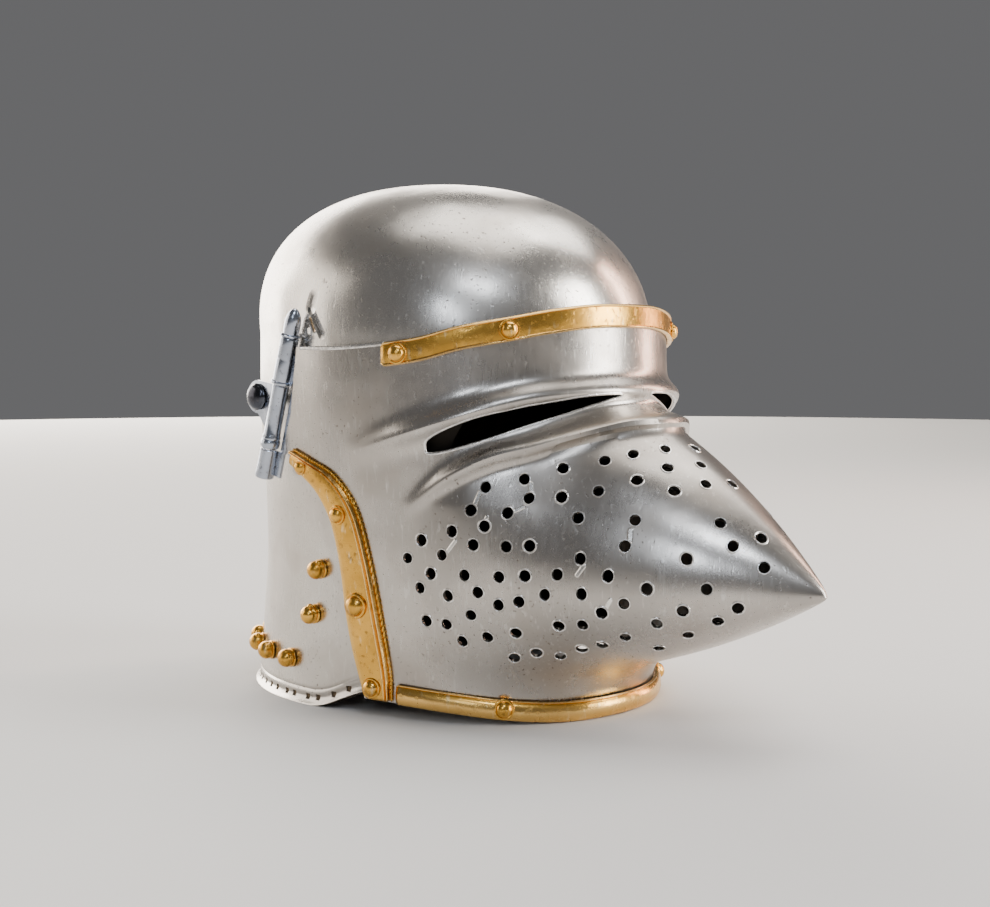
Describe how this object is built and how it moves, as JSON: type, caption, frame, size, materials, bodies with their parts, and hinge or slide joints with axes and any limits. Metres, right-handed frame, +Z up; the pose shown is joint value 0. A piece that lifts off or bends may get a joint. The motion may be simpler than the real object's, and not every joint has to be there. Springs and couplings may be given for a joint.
{
  "type": "hounskull bascinet",
  "caption": "Pointed steel helmet with brass borders and a snouted, pierced visor that swings up on pivots at the temples.",
  "frame": {"origin": "middle of the helmet's box, on the plane that its bottom rim stands on", "axes": "+Z up, -Y the way the helmet faces, -X the wearer's right"},
  "size_m": [0.2252, 0.3586, 0.272],
  "materials": {
    "satin_steel": "satin-polished plate with fine scratches and small pits",
    "worn_brass": "golden satin brass, brighter on worn edges",
    "bright_steel": "smooth polished steel with a cool tone",
    "blackened_iron": "dark domed bolt heads"
  },
  "bodies": {
    "bowl": {"bowl": "satin_steel", "vervelle_cheek_right_1": "worn_brass", "vervelle_cheek_right_2": "worn_brass", "vervelle_cheek_left_1": "worn_brass", "vervelle_cheek_left_2": "worn_brass", "vervelle_neck_1": "worn_brass", "vervelle_neck_2": "worn_brass", "vervelle_neck_3": "worn_brass", "vervelle_neck_4": "worn_brass", "vervelle_neck_5": "worn_brass", "vervelle_neck_6": "worn_brass", "vervelle_neck_7": "worn_brass", "vervelle_neck_8": "worn_brass", "vervelle_neck_9": "worn_brass", "vervelle_neck_10": "worn_brass", "vervelle_neck_11": "worn_brass", "vervelle_neck_12": "worn_brass", "vervelle_neck_13": "worn_brass", "pivot_bolt_right": "blackened_iron", "pivot_bolt_left": "blackened_iron"},
    "visor": {"visor": "satin_steel", "brow_band": "worn_brass", "rim_band": "worn_brass", "side_band_right": "worn_brass", "side_band_left": "worn_brass", "brow_rivet_right_1": "worn_brass", "brow_rivet_right_2": "worn_brass", "brow_rivet_left_1": "worn_brass", "brow_rivet_left_2": "worn_brass", "side_rivet_right_1": "worn_brass", "side_rivet_right_2": "worn_brass", "side_rivet_right_3": "worn_brass", "side_rivet_right_4": "worn_brass", "side_rivet_left_1": "worn_brass", "side_rivet_left_2": "worn_brass", "side_rivet_left_3": "worn_brass", "side_rivet_left_4": "worn_brass", "rim_rivet_right": "worn_brass", "rim_rivet_left": "worn_brass", "pivot_arm_right": "bright_steel", "pivot_arm_left": "bright_steel", "hinge_leaf_right": "bright_steel", "hinge_leaf_left": "bright_steel", "hinge_pin_right": "bright_steel", "hinge_pin_left": "bright_steel"}
  },
  "joints": [
    {"name": "visor_pivot", "type": "hinge", "parent": "bowl", "child": "visor", "pos_m": [0, 0.09611, 0.15849], "axis": [-1, 0, 0], "range_deg": [0, 90]}
  ]
}
